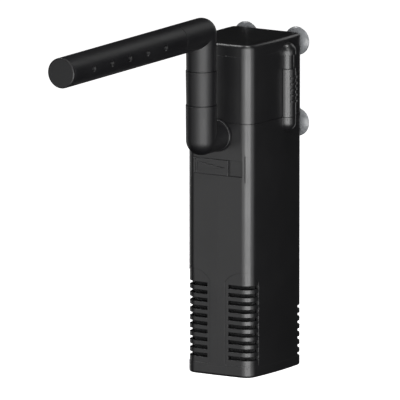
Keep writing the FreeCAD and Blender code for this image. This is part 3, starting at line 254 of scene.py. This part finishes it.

# %% [markdown]
# ## Enamelled copper
#
# The windings are enamelled copper wire, laid turn beside turn round each bobbin. The turns run
# round the vertical leg, so the wires stack up along the height. A wave texture with the wire's
# 0.4 mm pitch gives colour and bump: the colour is the copper's own tone with painted shade, darker
# in the grooves between turns and paler on each turn's crown, and a clear coat stands for the enamel.

# %% Enamelled copper
WIRE = 0.4
tree, shader, place, copper_wire = new_material("enamelled_copper_wire")
turns = add_node(tree, "ShaderNodeTexWave",
                 {"wave_type": "BANDS", "bands_direction": "Z", "Scale": math.pi / (10 * WIRE),
                  "Distortion": 0.6, "Detail": 1.0}, {"Vector": place})
# Painted shade: the copper colour darkens in the grooves between turns and pales on each turn's crown.
copper_tone_and_groove_shade = add_node(tree, "ShaderNodeMix", {"data_type": "RGBA", 6: linear("#6B2A12"), 7: linear("#B8602E")},
                  {0: turns.outputs["Fac"]})
wires = add_node(tree, "ShaderNodeBump", {"Strength": 0.7, "Distance": 0.15 * MM},
                 {"Height": turns.outputs["Fac"]})
tree.links.new(copper_tone_and_groove_shade.outputs[2], shader.inputs["Base Color"])
tree.links.new(wires.outputs["Normal"], shader.inputs["Normal"])
shader.inputs["Metallic"].default_value = 0.9
shader.inputs["Roughness"].default_value = 0.3
shader.inputs["Coat Weight"].default_value = 0.6
wear(copper_wire, "coil_windings")
print("wire", WIRE, "mm")

# %% [markdown]
# ## Resin, ferrite and ceramic
#
# Three hard, dull-to-glossy materials fill and run the motor. Cast epoxy is glossy with a few trapped
# bubbles, sintered ferrite is a matt charcoal with a fine pressed grain, and alumina ceramic is a
# clean off-white ground smooth. Each has its own noise at its own grain size.

# %% Resin, ferrite and ceramic
BUBBLE = 1.2
FERRITE_GRAIN = 0.5
GRINDING = 0.3


def grained(name, dark, light, size, roughness, depth, ior):
    """A hard material with one grain that drives its colour, its gloss and its bump."""
    tree, shader, place, material = new_material(name)
    grain = add_node(tree, "ShaderNodeTexNoise", {"Scale": 1 / size, "Detail": 4.0}, {"Vector": place})
    tone = add_node(tree, "ShaderNodeMix", {"data_type": "RGBA", 6: linear(dark), 7: linear(light)},
                    {0: grain.outputs["Fac"]})
    gloss = add_node(tree, "ShaderNodeMapRange", {"To Min": roughness - 0.05, "To Max": roughness + 0.05},
                     {"Value": grain.outputs["Fac"]})
    bump = add_node(tree, "ShaderNodeBump", {"Strength": 0.4, "Distance": depth * MM},
                    {"Height": grain.outputs["Fac"]})
    tree.links.new(tone.outputs[2], shader.inputs["Base Color"])
    tree.links.new(gloss.outputs["Result"], shader.inputs["Roughness"])
    tree.links.new(bump.outputs["Normal"], shader.inputs["Normal"])
    shader.inputs["IOR"].default_value = ior
    return material


wear(grained("cast_black_epoxy", "#0E0F10", "#17181A", BUBBLE, 0.18, 0.05, 1.55), "potting_resin")
wear(grained("sintered_ferrite", "#26272A", "#3A3B3E", FERRITE_GRAIN, 0.6, 0.04, 1.8), "rotor_magnet")
wear(grained("ground_alumina", "#D9D6CC", "#ECEAE2", GRINDING, 0.22, 0.01, 1.76), "impeller_shaft")
print("grain sizes in mm", BUBBLE, FERRITE_GRAIN, GRINDING)

# %% [markdown]
# ## Nitrile rubber and stainless steel
#
# O-rings, bushes, the washer and the cord gland are black nitrile rubber: dark, dull, with a bloom
# that makes the high spots a little paler. The screws are drawn stainless steel, bright with fine
# turning marks that run round them.

# %% Rubber and screws
BLOOM = 2.5
TURNING = 0.12
rubber = grained("moulded_nitrile_rubber", "#0D0D0D", "#1C1C1C", BLOOM, 0.62, 0.04, 1.52)
wear(rubber, "volute_oring", "spigot_oring", "lower_bush", "upper_bush", "thrust_washer", "cable_gland")
tree, shader, place, stainless = new_material("turned_stainless_steel")
marks = add_node(tree, "ShaderNodeTexWave",
                 {"wave_type": "BANDS", "bands_direction": "Z", "Scale": math.pi / (10 * TURNING),
                  "Distortion": 1.5}, {"Vector": place})
cut_marks = add_node(tree, "ShaderNodeBump", {"Strength": 0.3, "Distance": 0.01 * MM},
                     {"Height": marks.outputs["Fac"]})
tree.links.new(cut_marks.outputs["Normal"], shader.inputs["Normal"])
shader.inputs["Base Color"].default_value = linear("#B9BBBD")
shader.inputs["Metallic"].default_value = 1.0
shader.inputs["Roughness"].default_value = 0.28
wear(stainless, "pump_screws")
print("rubber bloom", BLOOM, "mm, turning marks", TURNING, "mm")

# %% [markdown]
# ## Suction cups
#
# Four cups hold the bracket to the glass. Each is one piece of soft PVC: a button that snaps behind
# the plate, a short neck, and a thin domed bell with a rounded lip. It could be sculpted from a
# sphere, but a cup is a round moulding, so half of its section is drawn once as a chain of points
# and spun about the cup's axis. A subdivision surface then rounds every corner, as soft PVC has no
# sharp edge.

# %% Cup section
CUP_SECTION = [(0.0, 0.05), (3.6, 0.05), (3.95, 0.45), (3.6, 0.85), (2.55, 0.95), (2.4, 1.5), (2.9, 2.15),
               (5.2, 2.45), (7.6, 3.15), (9.4, 4.0), (10.7, 4.9), (11.05, 5.35), (10.7, 5.58), (10.2, 5.3),
               (8.4, 4.45), (5.8, 3.75), (2.6, 3.45), (0.0, 3.4)]
SPIN_STEPS = 40


def link_piece(name, mesh_data, body, finish):
    """Turns a finished bmesh into an object that rides on a body and wears a finish."""
    for face in mesh_data.faces:
        face.smooth = True
    mesh = bpy.data.meshes.new(name)
    mesh_data.to_mesh(mesh)
    mesh_data.free()
    mesh.materials.append(finish)
    piece = bpy.data.objects.new(name, mesh)
    bpy.context.scene.collection.objects.link(piece)
    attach(piece, body)
    return piece


def soften(piece, levels):
    """A live subdivision surface, the same in the view and in the render."""
    surface = piece.modifiers.new("soft_corners", "SUBSURF")
    surface.levels = levels
    surface.render_levels = levels


print("cup section has", len(CUP_SECTION), "points")

# %% [markdown]
# ## Soft PVC
#
# Plasticised PVC is what cups and soft tube are made of. Here it is a smoky grey. Light enters it and
# spreads for a millimetre or so, its skin is smooth and slightly tacky-looking, and old plasticiser
# leaves faint cloudy patches a few millimetres across.

# %% Soft PVC
CLOUD = 4.0
tree, shader, place, soft_pvc = new_material("plasticised_smoke_pvc")
clouds = add_node(tree, "ShaderNodeTexNoise", {"Scale": 1 / CLOUD, "Detail": 3.0}, {"Vector": place})
smoke = add_node(tree, "ShaderNodeMix", {"data_type": "RGBA", 6: linear("#5F6163"), 7: linear("#77797B")},
                 {0: clouds.outputs["Fac"]})
skin = add_node(tree, "ShaderNodeMapRange", {"To Min": 0.22, "To Max": 0.34},
                {"Value": clouds.outputs["Fac"]})
tree.links.new(smoke.outputs[2], shader.inputs["Base Color"])
tree.links.new(skin.outputs["Result"], shader.inputs["Roughness"])
shader.inputs["IOR"].default_value = 1.53
shader.inputs["Subsurface Weight"].default_value = 0.2
shader.inputs["Subsurface Radius"].default_value = (1.0 * MM, 1.0 * MM, 1.0 * MM)
print("cloudy patches", CLOUD, "mm")

# %% [markdown]
# ## Spin the four cups
#
# The section lies in the XY plane with the cup's axis along Y. It is spun a full turn with the last
# step merged into the first, the doubled points on the axis are welded, and the normals are
# recalculated because a spin can leave them pointing inwards.

# %% Suction cups
for corner in ("upper_right", "lower_right", "upper_left", "lower_left"):
    low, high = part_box("suction_cup_" + corner)
    centre = Vector(((low.x + high.x) / 2, low.y, (low.z + high.z) / 2))
    cup = bmesh.new()
    chain = [cup.verts.new((radius * MM, height * MM, 0)) for radius, height in CUP_SECTION]
    strip = [cup.edges.new(pair) for pair in zip(chain, chain[1:])]
    bmesh.ops.spin(cup, geom=chain + strip, cent=(0, 0, 0), axis=(0, 1, 0), angle=math.tau,
                   steps=SPIN_STEPS, use_merge=True)
    bmesh.ops.remove_doubles(cup, verts=cup.verts, dist=0.01 * MM)
    bmesh.ops.recalc_face_normals(cup, faces=cup.faces)
    bmesh.ops.translate(cup, verts=cup.verts, vec=centre)
    piece = link_piece("cup_" + corner, cup, "bracket", soft_pvc)
    soften(piece, 1)
    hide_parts("suction_cup_" + corner)
    print(piece.name, len(piece.data.vertices), "points at", [round(v / MM, 1) for v in centre])

# %% [markdown]
# ## Sponge
#
# The sponge is a block of open-cell polyurethane foam, die-cut to the canister with a round bore down
# its middle. Foam is cut by a hot wire or a knife, so its edges are rounded only a little and its sides
# pull in slightly between top and bottom. A plain box would look like brick. Here two rings of points
# are bridged into the end face, that face is extruded upwards in steps, and each step is moved in or
# out a little to give the soft waist.

# %% Sponge shape
CELL = 1.1
RING_POINTS = 96
STEPS = 14
WAIST = 0.5
SPONGE_CORNER = 4.0
SPONGE_BORE = 9.2
SPONGE_SIDE_GAP = 0.4
SPONGE_END_GAP = 0.3


def rounded(point, half_x, half_y, corner):
    """Moves a point of a circle onto a rounded rectangle, along its own direction."""
    bearing = math.atan2(point.y, point.x)
    reach = min(half_x / max(abs(math.cos(bearing)), 1e-6), half_y / max(abs(math.sin(bearing)), 1e-6))
    flat = Vector((math.cos(bearing) * reach, math.sin(bearing) * reach, 0))
    inner = Vector((max(-half_x + corner, min(half_x - corner, flat.x)),
                    max(-half_y + corner, min(half_y - corner, flat.y)), 0))
    outward = flat - inner
    return inner + outward.normalized() * corner if outward.length > 1e-9 else flat


low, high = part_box("sponge_block")
half_x = (high.x - low.x) / 2 - SPONGE_SIDE_GAP * MM
half_y = (high.y - low.y) / 2 - SPONGE_SIDE_GAP * MM
foot = low.z + SPONGE_END_GAP * MM
height = high.z - low.z - 2 * SPONGE_END_GAP * MM
foam = bmesh.new()
bmesh.ops.create_circle(foam, segments=RING_POINTS, radius=SPONGE_BORE * MM)
rim = bmesh.ops.create_circle(foam, segments=RING_POINTS, radius=half_x)["verts"]
for point in rim:
    point.co = rounded(point.co, half_x, half_y, SPONGE_CORNER * MM)
bmesh.ops.bridge_loops(foam, edges=foam.edges[:])
bmesh.ops.translate(foam, verts=foam.verts, vec=(0, 0, foot))
front = foam.faces[:]
for step in range(1, STEPS + 1):
    grown = bmesh.ops.extrude_face_region(foam, geom=front)["geom"]
    if step > 1:
        bmesh.ops.delete(foam, geom=front, context="FACES_KEEP_BOUNDARY")
    front = [item for item in grown if isinstance(item, bmesh.types.BMFace)]
    level = [item for item in grown if isinstance(item, bmesh.types.BMVert)]
    bmesh.ops.translate(foam, verts=level, vec=(0, 0, height / STEPS))
for point in foam.verts:
    away = Vector((point.co.x, point.co.y, 0))
    if away.length > SPONGE_BORE * MM * 1.2:
        share = (point.co.z - foot) / height
        sway = 0.8 + 0.2 * math.sin(5 * share + 3 * away.x / half_x)
        pull = WAIST * MM * math.sin(math.pi * share) * sway
        point.co -= away.normalized() * pull
bmesh.ops.recalc_face_normals(foam, faces=foam.faces)
print("sponge", len(foam.verts), "points,", round(height / MM, 1), "mm tall")

# %% [markdown]
# ## Open-cell foam
#
# Filter foam is charcoal polyurethane with about 20 to 30 cells to the inch, which is a cell of about
# one millimetre. Each cell is a hole with struts round it: the struts take the foam's own charcoal
# tone, and the middle of each cell is painted near black as painted shade in the pore. A Voronoi
# texture's distance to the edge of its cells is just that pattern, and it drives the painted shade and the
# depth.

# %% Foam finish
tree, shader, place, cell_foam = new_material("open_cell_polyurethane_foam")
cells = add_node(tree, "ShaderNodeTexVoronoi", {"feature": "DISTANCE_TO_EDGE", "Scale": 1 / CELL},
                 {"Vector": place})
struts = add_node(tree, "ShaderNodeMapRange",
                  {"From Min": 0.02, "From Max": 0.3, "To Min": 1.0, "To Max": 0.0},
                  {"Value": cells.outputs["Distance"]})
# Painted shade: the middle of each cell is painted near black for the shade in its pore, and the foam is
# kept this dark so that the slots in the canister read as shade.
charcoal_and_pore_shade = add_node(tree, "ShaderNodeMix", {"data_type": "RGBA", 6: linear("#020202"), 7: linear("#1C1C1D")},
                {0: struts.outputs["Result"]})
pits = add_node(tree, "ShaderNodeBump", {"Strength": 1.0, "Distance": 0.5 * MM},
                {"Height": struts.outputs["Result"]})
tree.links.new(charcoal_and_pore_shade.outputs[2], shader.inputs["Base Color"])
tree.links.new(pits.outputs["Normal"], shader.inputs["Normal"])
shader.inputs["Roughness"].default_value = 0.95
shader.inputs["Specular IOR Level"].default_value = 0.15
shader.inputs["Sheen Weight"].default_value = 0.05
sponge = link_piece("foam_sponge", foam, "canister", cell_foam)
corner_round = sponge.modifiers.new("cut_edges", "BEVEL")
corner_round.width = 0.8 * MM
corner_round.segments = 2
corner_round.limit_method = "ANGLE"
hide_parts("sponge_block")
print("foam cells", CELL, "mm")

# %% [markdown]
# ## Carbon bag
#
# Activated carbon comes as granules in a net bag, which is laid in the basket. Full of grain, it
# bulges between its corners and sags flat where it rests. A subdivided block is puffed by pushing
# each point out along a rounded profile, and it thins towards its welded edges. A simulation would
# settle a slack bag better, but this one is packed tight in its basket.

# %% Carbon bag
GRANULE = 2.2
NET = 1.4
BAG_CUTS = 11
BAG_GAP = 0.3
low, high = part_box("carbon_pack")
middle_point = (low + high) / 2
half = (high - low) / 2
bag = bmesh.new()
bmesh.ops.create_cube(bag, size=2.0)
bmesh.ops.subdivide_edges(bag, edges=bag.edges[:], cuts=BAG_CUTS, use_grid_fill=True)
for point in bag.verts:
    x, y, z = point.co
    crown = (1 - x ** 4) * (1 - y ** 4)
    tuck = 1 - 0.06 * abs(z) ** 3
    puff = 0.93 + 0.07 * crown if z > 0 else 0.97 + 0.03 * crown
    point.co = Vector((x * tuck * (0.95 + 0.05 * (1 - y ** 2)), y * tuck * (0.95 + 0.05 * (1 - x ** 2)),
                       z * puff * (1 - 0.18 * (max(abs(x), abs(y)) ** 6))))
bmesh.ops.scale(bag, vec=half - Vector((BAG_GAP, BAG_GAP, BAG_GAP)) * MM, verts=bag.verts)
bmesh.ops.translate(bag, verts=bag.verts, vec=middle_point)
tree, shader, place, granules = new_material("carbon_granules_in_net")
grains = add_node(tree, "ShaderNodeTexVoronoi", {"Scale": 1 / GRANULE}, {"Vector": place})
mesh_lines = add_node(tree, "ShaderNodeTexVoronoi",
                      {"feature": "DISTANCE_TO_EDGE", "Scale": 1 / NET, "Randomness": 0.0},
                      {"Vector": place})
threads = add_node(tree, "ShaderNodeMapRange",
                   {"From Min": 0.04, "From Max": 0.1, "To Min": 1.0, "To Max": 0.0},
                   {"Value": mesh_lines.outputs["Distance"]})
lump = add_node(tree, "ShaderNodeMapRange",
                {"From Min": 0.0, "From Max": 0.8, "To Min": 1.0, "To Max": 0.0},
                {"Value": grains.outputs["Distance"]})
netted = add_node(tree, "ShaderNodeMix", {"data_type": "RGBA", 6: linear("#0B0B0B"), 7: linear("#3C3C3A")},
                  {0: threads.outputs["Result"]})
relief = add_node(tree, "ShaderNodeBump", {"Strength": 1.0, "Distance": 0.8 * MM},
                  {"Height": lump.outputs["Result"]})
tree.links.new(netted.outputs[2], shader.inputs["Base Color"])
tree.links.new(relief.outputs["Normal"], shader.inputs["Normal"])
shader.inputs["Roughness"].default_value = 0.55
pack = link_piece("carbon_bag", bag, "canister", granules)
soften(pack, 1)
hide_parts("carbon_pack")
print("carbon granules", GRANULE, "mm in a net of", NET, "mm")

# %% [markdown]
# ## Floor
#
# A catalogue picture has no visible horizon: the floor is a white sheet that runs far behind the
# object. One large square does that from the studio camera. Its white gives off light of its own,
# as a sheet lit from behind does, so that it stays even from near to far. A far wider ball stands
# round everything as a backdrop, but a view whose camera stops drawing a little behind the object
# shows neither of them there, and the dark world fills the top of the picture instead.

# %% Floor
FLOOR_REACH = 20.0
BACKDROP_REACH = 60.0

sheet = bmesh.new()
bmesh.ops.create_grid(sheet, x_segments=1, y_segments=1, size=FLOOR_REACH)
bmesh.ops.create_uvsphere(sheet, u_segments=48, v_segments=24, radius=BACKDROP_REACH)
floor_mesh = bpy.data.meshes.new("studio_floor")
sheet.to_mesh(floor_mesh)
sheet.free()
floor = bpy.data.objects.new("studio_floor", floor_mesh)
bpy.context.scene.collection.objects.link(floor)
tree, shader, place, paper = new_material("backlit_white_sheet")
fibre = add_node(tree, "ShaderNodeTexNoise", {"Scale": 0.2, "Detail": 2.0}, {"Vector": place})
tint = add_node(tree, "ShaderNodeMapRange", {"To Min": 0.86, "To Max": 0.9},
                {"Value": fibre.outputs["Fac"]})
tree.links.new(tint.outputs["Result"], shader.inputs["Base Color"])
shader.inputs["Roughness"].default_value = 0.9
shader.inputs["Specular IOR Level"].default_value = 0.0
shader.inputs["Emission Color"].default_value = (1, 1, 1, 1)
shader.inputs["Emission Strength"].default_value = 1.0
floor.data.materials.append(paper)
floor.visible_glossy = False
floor.visible_diffuse = False
floor.visible_shadow = False
print("floor", 2 * FLOOR_REACH, "m wide, backdrop", 2 * BACKDROP_REACH, "m across")

# %% [markdown]
# ## Lights
#
# Black plastic has almost no colour of its own: what shows is the reflection of the lights. One way
# is a single bright dome, but that would grey the top and the side. Here a row of soft boxes stands
# low round the front instead, brightest at the front right, so that upright corners and tubes carry
# a soft bright band and the flat front stays half dark. One box high at the left and one overhead
# draw the top rims, one high at the right lights the latch, and dim boxes at the left and behind
# keep the far sides from going quite black.

# %% Lights
REACH = 1.1
LOW_BOX = (0.5, 0.75)
HIGH_BOX = (0.3, 0.3)
WIDE_BOX = (0.5, 0.4)
SOFT_BOXES = [
    ("front_right_box", 30, -6, 6.9, LOW_BOX),
    ("right_box", 60, -6, 7.0, LOW_BOX),
    ("front_box", 0, -6, 2.4, LOW_BOX),
    ("far_right_box", 92, -6, 1.4, LOW_BOX),
    ("front_left_box", -35, -6, 1.0, LOW_BOX),
    ("high_right_box", 50, 38, 5.5, WIDE_BOX),
    ("overhead_box", 60, 79, 16.0, HIGH_BOX),
    ("left_high_box", -70, 57, 15.0, HIGH_BOX),
    ("back_high_box", 168, 30, 1.4, WIDE_BOX),
    ("back_box", 190, -6, 0.9, LOW_BOX),
    ("left_box", 255, -6, 0.9, LOW_BOX),
]
LIGHTS_MIDDLE = Vector((0, -0.05, 0.13))
for name, azimuth, elevation, radiance, (width, height) in SOFT_BOXES:
    turn, lift = math.radians(azimuth), math.radians(elevation)
    away = Vector((math.sin(turn) * math.cos(lift), -math.cos(turn) * math.cos(lift), math.sin(lift)))
    data = bpy.data.lights.new(name, "AREA")
    data.shape = "RECTANGLE"
    data.size = width
    data.size_y = height
    data.energy = radiance * math.pi * width * height
    light = bpy.data.objects.new(name, data)
    light.location = LIGHTS_MIDDLE + away * REACH
    light.rotation_euler = away.to_track_quat("Z", "Y").to_euler()
    light.visible_camera = False
    bpy.context.scene.collection.objects.link(light)
    print(name, "gives", round(data.energy, 2), "W")

world = bpy.data.worlds.new("dark_studio")
world.use_nodes = True
world.node_tree.nodes["Background"].inputs["Color"].default_value = (0.001, 0.001, 0.001, 1)
bpy.context.scene.world = world
bpy.context.scene.view_settings.view_transform = "Standard"
